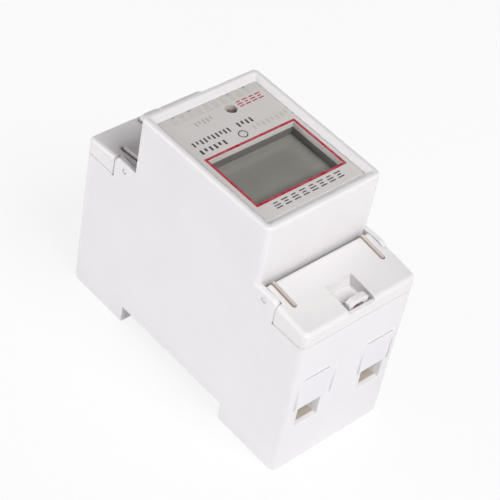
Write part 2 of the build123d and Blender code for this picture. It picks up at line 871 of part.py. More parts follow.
def lcd_pins():
    """Two rows of pins between the display and its board."""
    row_y = window_half_length + frame_cavity_margin
    pins = []
    for y in (window_center_y - row_y, window_center_y + row_y):
        for i in range(lcd_pin_count):
            x = (i - (lcd_pin_count - 1) / 2) * lcd_pin_pitch
            pins.append(block(
                x - lcd_pin_width / 2, x + lcd_pin_width / 2, y - lcd_pin_thickness / 2,
                y + lcd_pin_thickness / 2, display_board_top, glass_bottom,
            ))
    return Compound(children=pins)


def display_board():
    """The small board behind the front, drilled for its four screws."""
    board = block(
        -display_board_half_width, display_board_half_width, -display_board_half_length,
        display_board_half_length, display_board_bottom, display_board_top,
    )
    hole_radius = display_screw_radius + screw_clearance
    for x in (-display_post_x, display_post_x):
        for y in (display_post_near_y, display_post_far_y):
            board -= post(x, y, display_board_bottom, display_board_top, hole_radius)
    return board


def display_screws():
    """The four screws that hold the display board."""
    head_z = display_board_bottom - display_screw_head_height
    length = board_thickness + display_screw_depth
    screws = [
        upward_screw(
            x, y, head_z, display_screw_head_radius, display_screw_head_height, display_screw_radius, length
        )
        for x in (-display_post_x, display_post_x)
        for y in (display_post_near_y, display_post_far_y)
    ]
    return Compound(children=screws)


def pulse_led():
    """The round lamp behind the faceplate's hole, on its two leads."""
    base_z = display_board_top + led_base_height
    body_top = base_z + led_flange_height + led_body_height
    lamp = post(led_x, led_y, base_z, base_z + led_flange_height, led_flange_radius)
    lamp += post(led_x, led_y, base_z + led_flange_height, body_top, led_radius)
    dome = Pos(led_x, led_y, body_top) * Sphere(led_radius)
    lamp += dome & block(
        led_x - led_radius, led_x + led_radius, led_y - led_radius, led_y + led_radius,
        body_top, body_top + led_radius,
    )
    for x in (led_x - led_lead_pitch / 2, led_x + led_lead_pitch / 2):
        lamp += post(x, led_y, display_board_top, base_z, led_lead_radius)
    return lamp


def clamp_cage(x_side, y_side):
    """A folded steel cage that lifts to clamp a wire against its bar."""
    low = cage_inner_floor - cage_floor
    x0, x1 = terminal_x - cage_half_width, terminal_x + cage_half_width
    y0, y1 = terminal_y - cage_half_length, terminal_y + cage_half_length
    cage = block(x0, x1, y0, y1, low, cage_roof_top)
    cage = fillet(cage.edges().filter_by(Axis.Y), cage_corner_radius)
    cage -= block(x0 + cage_side, x1 - cage_side, y0, y1, cage_inner_floor, cage_roof_low)
    cage -= post(terminal_x, terminal_y, cage_roof_low, cage_roof_top, clamp_screw_radius + clamp_screw_play)
    for step in (-1, 0, 1):
        y = terminal_y + step * cage_half_length / 2
        cage -= block(
            x0 + cage_side, x1 - cage_side, y - cage_groove, y + cage_groove,
            cage_inner_floor - cage_groove, cage_inner_floor,
        )
    return mirrored(cage, x_side, y_side)


def clamp_screw(x_side, y_side):
    """A clamp screw: its tip stands on the bar and its head sits in the well."""
    tip = bar_top + clamp_screw_play
    shank = post(terminal_x, terminal_y, tip, head_low, clamp_screw_radius)
    shank = chamfer(shank.faces().sort_by(Axis.Z)[0].edges(), clamp_tip_chamfer)
    head = post(terminal_x, terminal_y, head_low, head_top, clamp_head_radius)
    head = fillet(head.faces().sort_by(Axis.Z)[-1].edges(), clamp_head_edge_radius)
    screw = shank + head
    slot_low = head_top - clamp_slot_depth
    screw -= screw_head_slot(terminal_x, terminal_y, slot_low, head_top, clamp_slot_reach, clamp_slot_width)
    return mirrored(screw, x_side, y_side)


def bus_bar(x, y0, y1):
    """A flat bar along the length, lying on the base's supports."""
    bar = block(x - bar_half_width, x + bar_half_width, y0, y1, bar_bottom, bar_top)
    ends = [edge for edge in bar.edges().filter_by(Axis.Z) if abs(edge.center().Y) > shunt_half_length + wall]
    return fillet(ends, bar_corner_radius)


def shunt_strip():
    """The thin notched strip that the line current crosses."""
    middle_z = (bar_bottom + bar_top) / 2
    z0, z1 = middle_z - shunt_thickness / 2, middle_z + shunt_thickness / 2
    strip = block(
        -terminal_x - bar_half_width, -terminal_x + bar_half_width,
        -shunt_half_length, shunt_half_length, z0, z1,
    )
    for x in (-terminal_x - bar_half_width, -terminal_x + bar_half_width):
        strip -= post(x, 0, z0, z1, shunt_notch)
    return strip


def sense_posts():
    """Tinned posts that carry the bars' voltages up to the main board."""
    places = [(-terminal_x, -sense_post_y), (-terminal_x, sense_post_y), (terminal_x, sense_post_y)]
    return Compound(children=[post(x, y, bar_top, main_board_bottom, sense_post_radius) for x, y in places])


def main_board():
    """The main board, drilled for its four screws."""
    board = block(
        -main_board_half_width, main_board_half_width, -main_board_half_length, main_board_half_length,
        main_board_bottom, main_board_top,
    )
    for x in (-pillar_x, pillar_x):
        for y in (-pillar_y, pillar_y):
            board -= post(x, y, main_board_bottom, main_board_top, board_screw_radius + screw_clearance)
    return board


def board_screws():
    """The four screws that hold the main board to its pillars."""
    top = main_board_top + board_screw_head_height
    slot_low = top - board_screw_head_height / 2
    reach = board_screw_head_radius * cross_reach_share
    width = board_screw_head_radius * cross_width_share
    screws = []
    for x in (-pillar_x, pillar_x):
        for y in (-pillar_y, pillar_y):
            screw = post(x, y, main_board_top, top, board_screw_head_radius)
            screw += post(x, y, main_board_top - board_screw_depth, main_board_top, board_screw_radius)
            screws.append(screw - screw_head_slot(x, y, slot_low, top, reach, width))
    return Compound(children=screws)


def board_link():
    """The pin strip that joins the main board to the display board."""
    end_y = header_start_y + header_pins * header_pitch
    half_strip = header_strip_width / 2
    strip = block(
        header_x - half_strip, header_x + half_strip, header_start_y, end_y,
        main_board_top, main_board_top + header_strip_width,
    )
    half_pin = header_pin_width / 2
    for i in range(header_pins):
        y = header_start_y + (i + 0.5) * header_pitch
        strip += block(
            header_x - half_pin, header_x + half_pin, y - half_pin, y + half_pin,
            main_board_top + header_strip_width, display_board_bottom,
        )
    return strip


def seated_box(size, at):
    """A box that stands on the main board."""
    return block(
        at[0] - size[0] / 2, at[0] + size[0] / 2, at[1] - size[1] / 2, at[1] + size[1] / 2,
        main_board_top, main_board_top + size[2],
    )


def film_capacitor():
    """The large boxed capacitor of the mains supply."""
    case = seated_box(film_capacitor_size, film_capacitor_at)
    return fillet(case.faces().sort_by(Axis.Z)[-1].edges() + case.edges().filter_by(Axis.Z), box_edge_radius)


def smoothing_capacitor():
    """The round can of the supply, with its rolled top edge."""
    can = post(can_at[0], can_at[1], main_board_top, main_board_top + can_height, can_radius)
    can = fillet(can.faces().sort_by(Axis.Z)[-1].edges(), can_edge_radius)
    groove_z = main_board_top + can_groove_height
    groove = post(can_at[0], can_at[1], groove_z, groove_z + can_groove_width, can_radius)
    groove -= post(can_at[0], can_at[1], groove_z, groove_z + can_groove_width, can_radius - can_groove_depth)
    return can - groove


def varistor():
    """The surge disc, on two short leads."""
    x, y = varistor_at
    z = main_board_top + varistor_lead_height + varistor_radius
    disc = cross_pin(x - varistor_thickness / 2, x + varistor_thickness / 2, y, z, varistor_radius)
    disc = chamfer(disc.edges().filter_by(GeomType.CIRCLE), varistor_edge)
    for step in (-1, 1):
        disc += post(x, y + step * varistor_radius / 2, main_board_top, z, varistor_lead_radius)
    return disc


def crystal():
    """The metal can of the clock crystal."""
    size_x, size_y, size_z = crystal_size
    outline = Plane.XY.offset(main_board_top) * (Pos(*crystal_at) * SlotOverall(size_x, size_y))
    can = extrude(outline, amount=size_z)
    return fillet(can.faces().sort_by(Axis.Z)[-1].edges(), crystal_edge_radius)


def leaded_chip(size, at, leads, sides):
    """A moulded chip held off the board on rows of flat leads."""
    lift = size[2] * chip_lift_share
    body = block(
        at[0] - size[0] / 2, at[0] + size[0] / 2, at[1] - size[1] / 2, at[1] + size[1] / 2,
        main_board_top + lift, main_board_top + size[2],
    )
    body = chamfer(body.faces().sort_by(Axis.Z)[-1].edges(), lift)
    span = {"x": size[1], "y": size[0]}
    for axis in sides:
        pitch = span[axis] * lead_row_share / leads
        for i in range(leads):
            along = (i - (leads - 1) / 2) * pitch
            reach = (size[0] if axis == "x" else size[1]) / 2 + size[2] / 2
            half = pitch * lead_width_share / 2
            if axis == "x":
                body += block(
                    at[0] - reach, at[0] + reach, at[1] + along - half, at[1] + along + half,
                    main_board_top, main_board_top + 2 * lift,
                )
            else:
                body += block(
                    at[0] + along - half, at[0] + along + half, at[1] - reach, at[1] + reach,
                    main_board_top, main_board_top + 2 * lift,
                )
    return body


parts = {
    "case_shell": case_shell(),
    "rear_base": rear_base(),
    "case_screws": case_screws(),
    "rail_latch": rail_latch(),
    "latch_spring": latch_spring(),
    "near_terminal_cover": terminal_cover(-1),
    "far_terminal_cover": terminal_cover(1),
    "front_plate": front_plate(),
    "display_frame": display_frame(),
    "lcd_glass": lcd_glass(),
    "lcd_reflector": lcd_reflector(),
    "lcd_pins": lcd_pins(),
    "display_board": display_board(),
    "display_screws": display_screws(),
    "pulse_led": pulse_led(),
    "neutral_bar": bus_bar(terminal_x, -bar_end_y, bar_end_y),
    "line_bar_near": bus_bar(-terminal_x, -bar_end_y, -shunt_half_length),
    "line_bar_far": bus_bar(-terminal_x, shunt_half_length, bar_end_y),
    "shunt_strip": shunt_strip(),
    "sense_posts": sense_posts(),
    "main_board": main_board(),
    "board_screws": board_screws(),
    "board_link": board_link(),
    "film_capacitor": film_capacitor(),
    "smoothing_capacitor": smoothing_capacitor(),
    "varistor": varistor(),
    "crystal": crystal(),
    "metering_chip": leaded_chip(metering_chip_size, metering_chip_at, metering_chip_lead_count, "x"),
    "controller_chip": leaded_chip(controller_size, controller_at, controller_lead_count, "xy"),
    "isolator_chip": leaded_chip(isolator_size, isolator_at, isolator_lead_count, "x"),
}
for end_name, y_side in (("near", -1), ("far", 1)):
    for side_name, x_side in (("left", -1), ("right", 1)):
        parts[f"{end_name}_{side_name}_cage"] = clamp_cage(x_side, y_side)
        parts[f"{end_name}_{side_name}_screw"] = clamp_screw(x_side, y_side)

os.makedirs("parts", exist_ok=True)
for name, shape in parts.items():
    export_step(shape, f"parts/{name}.step")
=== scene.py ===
import json
import math

import bmesh
import bpy
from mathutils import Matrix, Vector


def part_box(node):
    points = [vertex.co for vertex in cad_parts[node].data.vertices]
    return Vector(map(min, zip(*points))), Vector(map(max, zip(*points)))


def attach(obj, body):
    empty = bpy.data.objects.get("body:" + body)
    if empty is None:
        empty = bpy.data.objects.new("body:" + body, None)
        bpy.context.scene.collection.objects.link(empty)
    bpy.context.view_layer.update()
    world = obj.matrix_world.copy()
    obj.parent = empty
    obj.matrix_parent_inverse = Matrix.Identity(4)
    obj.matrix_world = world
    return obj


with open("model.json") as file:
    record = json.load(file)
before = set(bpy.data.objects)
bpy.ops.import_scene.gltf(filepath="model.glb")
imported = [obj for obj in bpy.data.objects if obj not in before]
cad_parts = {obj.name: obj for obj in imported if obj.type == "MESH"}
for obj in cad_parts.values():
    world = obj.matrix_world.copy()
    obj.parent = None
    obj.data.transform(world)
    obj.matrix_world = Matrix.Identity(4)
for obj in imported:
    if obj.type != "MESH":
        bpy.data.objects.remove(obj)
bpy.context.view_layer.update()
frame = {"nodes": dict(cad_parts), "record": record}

# An energy meter for a mounting rail, two modules wide. The imported solids get their finishes, and the
# marks on the faceplate, the panels over the wire holes, the covers' pin tips and the pieces of painted
# shade in the slits and loop slots are laid on them.
# Lengths are metres, and MM turns millimetres into them. The near end faces -Y.
MM = 0.001
nodes = frame["nodes"]
ends = {"near": -1, "far": 1}

# The camera that the photograph was taken with
camera_place = (-0.228155, -0.197380, 0.320186)
camera_turn = (45.8065, -8.6062, -41.3121)
camera_lens = 122.29
camera_sensor = 36.0
nearest_seen = 0.01
furthest_seen = 20.0

# Lamps stand round the meter, a metre off: degrees round from its front, degrees up, and watts
lamp_distance = 1.0
lamp_width = 0.5
lamp_target = Vector((0.0, 0.0, 35 * MM))
lamps = {
    "front lamp": (0, 55, 8.75),
    "low front lamp": (-45, 6, 3.3),
    "low left lamp": (-100, 6, 1.2),
    "left rear lamp": (-135, 12, 5.2),
    "right lamp": (90, 15, 1.0),
    "back lamp": (180, 15, 1.0),
}
sky_color = (0.990, 0.985, 1.000)
sky_strength = 0.032
floor_half = 3.0
floor_color = (0.845, 0.845, 0.875)
floor_white_share = 0.86

# Colours of the outer plastics, as the share of light that each gives back; the edge colours are painted
# highlight tints for the edges
housing_color = (0.800, 0.778, 0.790)
housing_highlight_tint = (0.795, 0.768, 0.765)
cover_color = (0.800, 0.778, 0.780)
latch_color = (0.760, 0.745, 0.750)
plate_color = (0.680, 0.650, 0.635)
plate_highlight_tint = (0.800, 0.790, 0.775)
# Painted highlight: the panels' bead is paler than the wall along their outlines
bead_highlight_color = (0.840, 0.825, 0.835)
panel_color = (0.790, 0.775, 0.800)
# Painted half-shade: the paler tone of the slopes laid in the slits
slit_half_shade_color = (0.700, 0.655, 0.625)
# Painted shade: the dark tone of the strips in the slits, round the loop slots and between the loops' legs
shaded_color = (0.330, 0.255, 0.205)
hole_shade_color = (0.405, 0.355, 0.290)
window_frame_color = (0.165, 0.155, 0.148)
window_frame_highlight_tint = (0.210, 0.200, 0.190)
dark_color = (0.055, 0.052, 0.050)
dark_highlight_tint = (0.120, 0.115, 0.110)

# Inks
red_ink_color = (0.440, 0.006, 0.030)
black_ink_color = (0.045, 0.045, 0.048)
grey_ink_color = (0.420, 0.420, 0.400)
beige_ink_color = (0.560, 0.530, 0.460)

# Display, lamp and electronics
display_color = (0.272, 0.266, 0.243)
display_speck_color = (0.500, 0.500, 0.480)
reflector_color = (0.720, 0.720, 0.700)
# The reflector's edge colour is a painted highlight tint
reflector_highlight_tint = (0.800, 0.800, 0.780)
resin_heart_color = (0.200, 0.095, 0.070)
resin_color = (0.340, 0.200, 0.150)
resist_color = (0.008, 0.065, 0.028)
track_color = (0.016, 0.125, 0.050)
weave_color = (0.030, 0.170, 0.070)
pad_color = (0.620, 0.620, 0.600)
board_edge = (0.350, 0.330, 0.160)
# The capacitor's and the dipped resin's edge colours below are painted highlight tints
capacitor_yellow = (0.600, 0.420, 0.060)
capacitor_highlight_tint = (0.680, 0.520, 0.120)
dipped_blue = (0.030, 0.090, 0.340)
dipped_highlight_tint = (0.060, 0.140, 0.420)

# Metals
tin_color = (0.70, 0.70, 0.68)
copper_color = (0.78, 0.42, 0.26)
alloy_color = (0.52, 0.42, 0.33)
zinc_color = (0.62, 0.63, 0.65)
wire_color = (0.50, 0.50, 0.51)
cage_color = (0.66, 0.66, 0.63)
screw_color = (0.66, 0.66, 0.64)
can_color = (0.74, 0.74, 0.75)

# Pieces thinner than an edge's rounding, painted highlight tint and polish have next to none
thin_edge = 0.03 * MM

# The stretch of a noise that clouds spread over
cloud_low = 0.3
cloud_high = 0.7

# Faceplate and its print
plate_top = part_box("front_plate")[1].z
ink_thickness = 0.02 * MM
ink_top = plate_top + ink_thickness
window_half_width = 13.4 * MM
window_half_length = 8.6 * MM
window_center_y = -5.35 * MM
frame_line = 0.72 * MM
ring_x = -0.2 * MM
ring_y = 6.1 * MM
ring_outer = 1.25 * MM
ring_inner = 0.98 * MM
ring_steps = 32

# A plain mark on the faceplate, as shares of its height or width
stroke_corner = 0.3
bar_height = 0.17
middle_bar_inset = 0.18
top_bar_inset = 0.14
short_mark_drop = 0.3

# End walls: the wire holes, and the outlined panels over them
end_wall_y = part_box("case_shell")[1].y
hole_center_x = 10.5 * MM
hole_center_z = 17.6 * MM
hole_reach = 4.4 * MM
panel_inner_edges = {"left": (-1, 3.6 * MM), "right": (1, 5.1 * MM)}
panel_outer = 15.85 * MM
panel_low = 20.75 * MM
panel_slit_half = 4.1 * MM
panel_slit_low = 30.75 * MM
panel_slit_high = 31.2 * MM
panel_skin = 0.02 * MM
panel_sink = 0.2 * MM
panel_under_bead = 0.8

# The panels' bead: shares of its width across it, and of its rise over the wall
bead_width = 0.8 * MM
bead_rise = 0.05 * MM
bead_corner = 1.5 * MM
bead_corner_steps = 6
bead_profile = ((0.0, -0.2), (0.1, 0.3), (0.3, 0.9), (0.5, 1.0), (0.7, 0.9), (0.9, 0.3), (1.0, -0.2))

# Terminal covers: their sloping top, the slits beside their arms, and the dark strips of painted shade and
# paler slopes of painted half-shade laid in the slits
cover_rear_y = 23.55 * MM
cover_rear_top = 49.85 * MM
cover_end_top = 47.9 * MM
cover_slope = (cover_end_top - cover_rear_top) / (end_wall_y - cover_rear_y)
slit_inner_x = 13.53 * MM
slit_outer_x = 14.93 * MM
shade_strip_end_y = 31.98 * MM
shade_strip_corner = 0.5 * MM
shade_strip_depth = 0.62 * MM
shade_strip_thickness = 0.3 * MM
half_shade_start_x = 0.98 * MM
half_shade_top = 0.12 * MM
half_shade_end_y = 31.45 * MM

# Hinge pins: how far out each ring of a pin's rounded end lies, and its share of the radius
pivot_y = 25.5 * MM
pivot_height = 47.4 * MM
pin_tip_radius = 0.66 * MM
pin_tip_profile = ((17.2 * MM, 1.0), (17.75 * MM, 1.0), (17.86 * MM, 0.85), (17.9 * MM, 0.5))
pin_tip_steps = 20

# The seal loop's slot in a cover, the loop that stands in it, the sill of painted shade round the slot, and
# the web of painted shade between the loop's legs
slot_half_x = 3.47 * MM
slot_rear_y = 36.12 * MM
slot_front_y = 38.77 * MM
loop_half_x = 3.16 * MM
loop_rear_y = 36.56 * MM
loop_front_y = 38.45 * MM
slot_shade_low = 45.1 * MM
slot_shade_high = 45.42 * MM
web_shade_half_x = 1.6 * MM
web_shade_rear_y = 36.9 * MM
web_shade_front_y = 38.3 * MM
web_shade_corner = 0.2 * MM


def node(tree, kind, inputs=None, **settings):
    """Adds a shader node, sets its properties, and fills or wires its inputs."""
    made = tree.nodes.new(kind)
    for name, value in settings.items():
        setattr(made, name, value)
    for name, value in (inputs or {}).items():
        if isinstance(value, bpy.types.NodeSocket):
            tree.links.new(value, made.inputs[name])
        else:
            made.inputs[name].default_value = value
    return made


def calc(tree, operation, first, second=0.0, third=0.0):
    """One sum on values."""
    return node(tree, "ShaderNodeMath", {0: first, 1: second, 2: third}, operation=operation).outputs[0]


def vector_calc(tree, operation, inputs):
    """One sum on vectors."""
    return node(tree, "ShaderNodeVectorMath", inputs, operation=operation)


def between(tree, value, low, high, to_low=0.0, to_high=1.0):
    """Brings a value from low..high to to_low..to_high, and holds it there."""
    limits = {"From Min": low, "From Max": high, "To Min": to_low, "To Max": to_high}
    return node(tree, "ShaderNodeMapRange", {"Value": value, **limits}).outputs[0]


def mix_color(tree, amount, first, second):
    """Mixes two colours by an amount."""
    return node(tree, "ShaderNodeMix", {0: amount, 6: first, 7: second}, data_type="RGBA").outputs[2]


def first_channel(tree, color):
    """The red channel of a colour, as a chance from 0 to 1."""
    return node(tree, "ShaderNodeSeparateColor", {0: color}).outputs[0]


def place_on_piece(tree):
    """Where a point of the surface lies in its piece's own space."""
    return node(tree, "ShaderNodeTexCoord").outputs["Object"]


def rgba(color):
    """A colour with full alpha, as a socket takes it."""
    return (*color[:3], 1.0)


def shade_of(color, share):
    """A colour with each channel brought to a share of it, and held at white."""
    return tuple(min(1.0, channel * share) for channel in color)


def effect(name, inputs, outputs):
    """Starts a shader node group with named inputs and outputs."""
    group = bpy.data.node_groups.new(name, "ShaderNodeTree")
    for label, kind, value in inputs:
        group.interface.new_socket(label, in_out="INPUT", socket_type=kind).default_value = value
    for label, kind in outputs:
        group.interface.new_socket(label, in_out="OUTPUT", socket_type=kind)
    return group, group.nodes.new("NodeGroupInput"), group.nodes.new("NodeGroupOutput")


def place_effect(tree, group, **values):
    """Places an effect in a material with its own values; a space in a name is written as _."""
    inputs = {label.replace("_", " "): value for label, value in values.items()}
    return node(tree, "ShaderNodeGroup", inputs, node_tree=group)


def make_moulded_grain():
    """The spark-eroded grain of a mould, faint flow clouds, and a few dust specks."""
    group, given, result = effect(
        "moulded grain",
        [
            ("Grain Size", "NodeSocketFloat", 0.16 * MM),
            ("Cloud Size", "NodeSocketFloat", 12 * MM),
            ("Speck Spacing", "NodeSocketFloat", 4 * MM),
        ],
        [("Height", "NodeSocketFloat"), ("Cloud", "NodeSocketFloat"), ("Speck", "NodeSocketFloat")],
    )
    speck_core, speck_rim = 0.018, 0.030
    bare_share, bare_rim = 0.78, 0.80
    spot = place_on_piece(group)
    scale = calc(group, "DIVIDE", 1.0, given.outputs["Grain Size"])
    grain = node(
        group, "ShaderNodeTexNoise", {"Vector": spot, "Scale": scale, "Detail": 3.0, "Roughness": 0.6}
    )
    scale = calc(group, "DIVIDE", 1.0, given.outputs["Cloud Size"])
    cloud = node(
        group, "ShaderNodeTexNoise", {"Vector": spot, "Scale": scale, "Detail": 2.0, "Roughness": 0.5}
    )
    scale = calc(group, "DIVIDE", 1.0, given.outputs["Speck Spacing"])
    speck = node(group, "ShaderNodeTexVoronoi", {"Vector": spot, "Scale": scale}, feature="F1")
    near = between(group, speck.outputs["Distance"], speck_core, speck_rim, 1.0, 0.0)
    chosen = between(group, first_channel(group, speck.outputs["Color"]), bare_share, bare_rim)
    group.links.new(grain.outputs["Fac"], result.inputs["Height"])
    group.links.new(between(group, cloud.outputs["Fac"], cloud_low, cloud_high), result.inputs["Cloud"])
    group.links.new(calc(group, "MULTIPLY", near, chosen), result.inputs["Speck"])
    return group


def make_soft_edges():
    """Rounds the look of sharp edges and says where the edges are."""
    group, given, result = effect(
        "soft edges",
        [("Width", "NodeSocketFloat", 0.3 * MM)],
        [("Normal", "NodeSocketVector"), ("Edge", "NodeSocketFloat")],
    )
    flat_limit, full_edge = 0.995, 0.86
    rounded = node(group, "ShaderNodeBevel", {"Radius": given.outputs["Width"]}, samples=6).outputs[0]
    flat = node(group, "ShaderNodeNewGeometry").outputs["Normal"]
    along = vector_calc(group, "DOT_PRODUCT", {0: rounded, 1: flat}).outputs["Value"]
    group.links.new(rounded, result.inputs["Normal"])
    group.links.new(between(group, along, flat_limit, full_edge), result.inputs["Edge"])
    return group


def make_drawn_lines():
    """Fine lines along one direction, as rolling, drawing or turning leaves on metal."""
    group, given, result = effect(
        "drawn lines",
        [("Stretch", "NodeSocketVector", (1.0, 1.0, 1.0)), ("Line Size", "NodeSocketFloat", 0.1 * MM)],
        [("Height", "NodeSocketFloat"), ("Cloud", "NodeSocketFloat")],
    )
    spot = place_on_piece(group)
    drawn = vector_calc(group, "MULTIPLY", {0: spot, 1: given.outputs["Stretch"]}).outputs[0]
    scale = calc(group, "DIVIDE", 1.0, given.outputs["Line Size"])
    line = node(
        group, "ShaderNodeTexNoise", {"Vector": drawn, "Scale": scale, "Detail": 4.0, "Roughness": 0.65}
    )
    cloud = node(
        group, "ShaderNodeTexNoise", {"Vector": spot, "Scale": 420.0, "Detail": 3.0, "Roughness": 0.6}
    )
    group.links.new(line.outputs["Fac"], result.inputs["Height"])
    group.links.new(between(group, cloud.outputs["Fac"], cloud_low, cloud_high), result.inputs["Cloud"])
    return group


def make_board_tracks():
    """Tracks under green resist and a grid of tinned pads, across a circuit board."""
    group, given, result = effect(
        "board tracks",
        [("Pad Pitch", "NodeSocketFloat", 2.54 * MM)],
        [("Track", "NodeSocketFloat"), ("Pad", "NodeSocketFloat"), ("Weave", "NodeSocketFloat")],
    )
    pad_radius, pad_rim = 0.27, 0.30
    bare_share, bare_rim = 0.70, 0.71
    spot = place_on_piece(group)
    tracks = node(
        group, "ShaderNodeTexBrick",
        {
            "Vector": spot, "Scale": 190.0, "Mortar Size": 0.055, "Mortar Smooth": 0.1,
            "Brick Width": 0.9, "Row Height": 0.32,
        },
        offset=0.37, squash=1.6, squash_frequency=3,
    )
    per_pitch = calc(group, "DIVIDE", 1.0, given.outputs["Pad Pitch"])
    pitch = vector_calc(group, "SCALE", {0: spot, "Scale": per_pitch}).outputs[0]
    cell = vector_calc(group, "FRACTION", {0: pitch}).outputs[0]
    middle = vector_calc(group, "SUBTRACT", {0: cell, 1: (0.5, 0.5, 0.5)}).outputs[0]
    level = vector_calc(group, "MULTIPLY", {0: middle, 1: (1.0, 1.0, 0.0)}).outputs[0]
    reach = vector_calc(group, "LENGTH", {0: level}).outputs["Value"]
    disc = between(group, reach, pad_radius, pad_rim, 1.0, 0.0)
    field = node(group, "ShaderNodeTexVoronoi", {"Vector": spot, "Scale": 95.0}, feature="F1")
    taken = between(group, first_channel(group, field.outputs["Color"]), bare_share, bare_rim)
    weave = node(
        group, "ShaderNodeTexChecker",
        {"Vector": spot, "Scale": 2600.0, "Color1": (1, 1, 1, 1), "Color2": (0, 0, 0, 1)},
    )
    group.links.new(calc(group, "SUBTRACT", 1.0, tracks.outputs["Fac"]), result.inputs["Track"])
    group.links.new(calc(group, "MULTIPLY", disc, taken), result.inputs["Pad"])
    group.links.new(weave.outputs["Fac"], result.inputs["Weave"])
    return group


def make_hole_shade():
    """Where the floor of a wire hole is deep enough to lie in shade."""
    group, given, result = effect(
        "hole shade", [("Floor Depth", "NodeSocketFloat", 1.2 * MM)], [("Shade", "NodeSocketFloat")]
    )
    start_share = 0.7
    steep_limit, floor_limit = 0.4, 0.6
    place = node(group, "ShaderNodeSeparateXYZ", {0: place_on_piece(group)})
    beside = calc(group, "SUBTRACT", calc(group, "ABSOLUTE", place.outputs[0]), hole_center_x)
    above = calc(group, "SUBTRACT", place.outputs[2], hole_center_z)
    away = calc(group, "MAXIMUM", calc(group, "ABSOLUTE", beside), calc(group, "ABSOLUTE", above))
    inside = calc(group, "LESS_THAN", away, hole_reach)
    depth = calc(group, "SUBTRACT", end_wall_y, calc(group, "ABSOLUTE", place.outputs[1]))
    start_depth = calc(group, "MULTIPLY", given.outputs["Floor Depth"], start_share)
    dark = between(group, depth, start_depth, given.outputs["Floor Depth"])
    normal = node(group, "ShaderNodeNewGeometry").outputs["Normal"]
    upward = node(group, "ShaderNodeSeparateXYZ", {0: normal}).outputs[2]
    floor_share = calc(group, "MULTIPLY", between(group, upward, steep_limit, floor_limit), inside)
    group.links.new(calc(group, "MULTIPLY", dark, floor_share), result.inputs["Shade"])
    return group


moulded_grain = make_moulded_grain()
soft_edges = make_soft_edges()
drawn_lines = make_drawn_lines()
board_tracks = make_board_tracks()
hole_shade = make_hole_shade()


def surface(name, **constants):
    """A material with one Principled shader; a space in an input's name is written as _."""
    material = bpy.data.materials.new(name)
    material.use_nodes = True
    tree = material.node_tree
    tree.nodes.clear()
    shader = tree.nodes.new("ShaderNodeBsdfPrincipled")
    output = tree.nodes.new("ShaderNodeOutputMaterial")
    tree.links.new(shader.outputs["BSDF"], output.inputs["Surface"])
    for label, value in constants.items():
        shader.inputs[label.replace("_", " ")].default_value = value
    return material, tree, shader


def raise_surface(tree, shader, height, distance, strength, normal=None):
    """Bump from a height, over the softened normal where there is one."""
    inputs = {"Height": height, "Distance": distance, "Strength": strength}
    if normal is not None:
        inputs["Normal"] = normal
    tree.links.new(node(tree, "ShaderNodeBump", inputs).outputs[0], shader.inputs["Normal"])


def moulded_plastic(
    name, color, highlight_tint_color, roughness=0.42, grain=0.16 * MM, edge=0.35 * MM, specks=0.5, holed=False
):
    """Moulded plastic: grain, flow clouds, edges painted in a highlight tint and a little polished, a little
    dust, and painted shade in the wire holes.
    """
    cloud_shade, dust_shade = 0.975, 0.55
    highlight_tint_share, dust_share = 0.6, 0.25
    cloud_gloss, edge_polish = 0.05, 0.08
    grain_depth, grain_strength = 0.01 * MM, 0.35
    material, tree, shader = surface(name)
    texture = place_effect(tree, moulded_grain, Grain_Size=grain)
    edges = place_effect(tree, soft_edges, Width=edge)
    body = mix_color(tree, texture.outputs["Cloud"], rgba(shade_of(color, cloud_shade)), rgba(color))
    # Painted highlight: the edges are mixed towards the highlight tint
    highlight_tint_amount = calc(tree, "MULTIPLY", edges.outputs["Edge"], highlight_tint_share)
    body = mix_color(tree, highlight_tint_amount, body, rgba(highlight_tint_color))
    dust = calc(tree, "MULTIPLY", texture.outputs["Speck"], specks * dust_share)
    body = mix_color(tree, dust, body, rgba(shade_of(color, dust_shade)))
    if holed:
        shade = place_effect(tree, hole_shade).outputs["Shade"]
        body = mix_color(tree, shade, body, rgba(hole_shade_color))
    tree.links.new(body, shader.inputs["Base Color"])
    polish = calc(tree, "MULTIPLY", edges.outputs["Edge"], -edge_polish)
    cloudy = calc(tree, "MULTIPLY_ADD", texture.outputs["Cloud"], cloud_gloss, roughness - cloud_gloss / 2)
    tree.links.new(calc(tree, "ADD", cloudy, polish), shader.inputs["Roughness"])
    height, normal = texture.outputs["Height"], edges.outputs["Normal"]
    raise_surface(tree, shader, height, grain_depth, grain_strength, normal)
    return material


def worked_metal(name, color, axis, squeeze, roughness, tarnish=0.8):
    """Rolled, drawn or turned metal: fine lines along an axis, dull clouds and brighter edges."""
    stretch = [1.0, 1.0, 1.0]
    stretch["xyz".index(axis)] = squeeze
    line_size, line_depth, line_strength = 0.1 * MM, 0.004 * MM, 0.4
    line_gloss, cloud_gloss = 0.18, 0.08
    edge_width, edge_shine = 0.12 * MM, 1.12
    material, tree, shader = surface(name, Metallic=1.0)
    lines = place_effect(tree, drawn_lines, Stretch=stretch, Line_Size=line_size)
    edges = place_effect(tree, soft_edges, Width=edge_width)
    body = mix_color(tree, lines.outputs["Cloud"], rgba(shade_of(color, tarnish)), rgba(color))
    body = mix_color(tree, edges.outputs["Edge"], body, rgba(shade_of(color, edge_shine)))
    tree.links.new(body, shader.inputs["Base Color"])
    lined = calc(tree, "MULTIPLY_ADD", lines.outputs["Height"], line_gloss, roughness - line_gloss / 2)
    cleared = calc(tree, "MULTIPLY_ADD", lines.outputs["Cloud"], -cloud_gloss, lined)
    tree.links.new(cleared, shader.inputs["Roughness"])
    height, normal = lines.outputs["Height"], edges.outputs["Normal"]
    raise_surface(tree, shader, height, line_depth, line_strength, normal)
    return material


